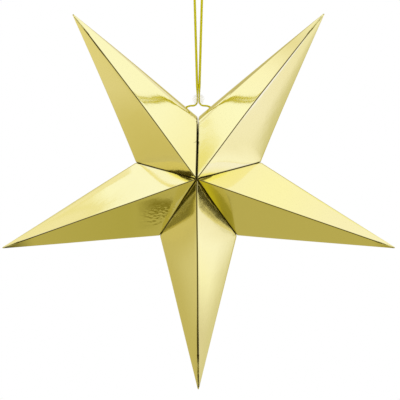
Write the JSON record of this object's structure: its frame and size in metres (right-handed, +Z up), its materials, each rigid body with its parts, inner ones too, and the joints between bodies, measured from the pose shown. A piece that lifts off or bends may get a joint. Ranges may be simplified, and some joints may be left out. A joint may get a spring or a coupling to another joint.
{
  "type": "hanging folded-card star",
  "caption": "Deep star of mirror-gold foil card, glued from hollow folded arms with soft side bends and sharp ridges, hung by a looped gold cord with a clear bead.",
  "frame": {"origin": "inside top of the cord's loop, where a hook bears", "axes": "+X to the right across the two side tips as seen from the front, +Y from the star's front peak to its back peak, +Z up along the hanging cord"},
  "size_m": [0.4504, 0.2, 0.4606],
  "materials": {
    "foil_card": "polished",
    "gold_cord": "satin",
    "clear_bead": "gloss"
  },
  "bodies": {
    "root": {"arm_upper_right": "foil_card", "arm_right": "foil_card", "arm_bottom": "foil_card", "arm_left": "foil_card", "arm_upper_left": "foil_card", "hanging_cord": "gold_cord", "closing_bead": "clear_bead"}
  },
  "joints": []
}
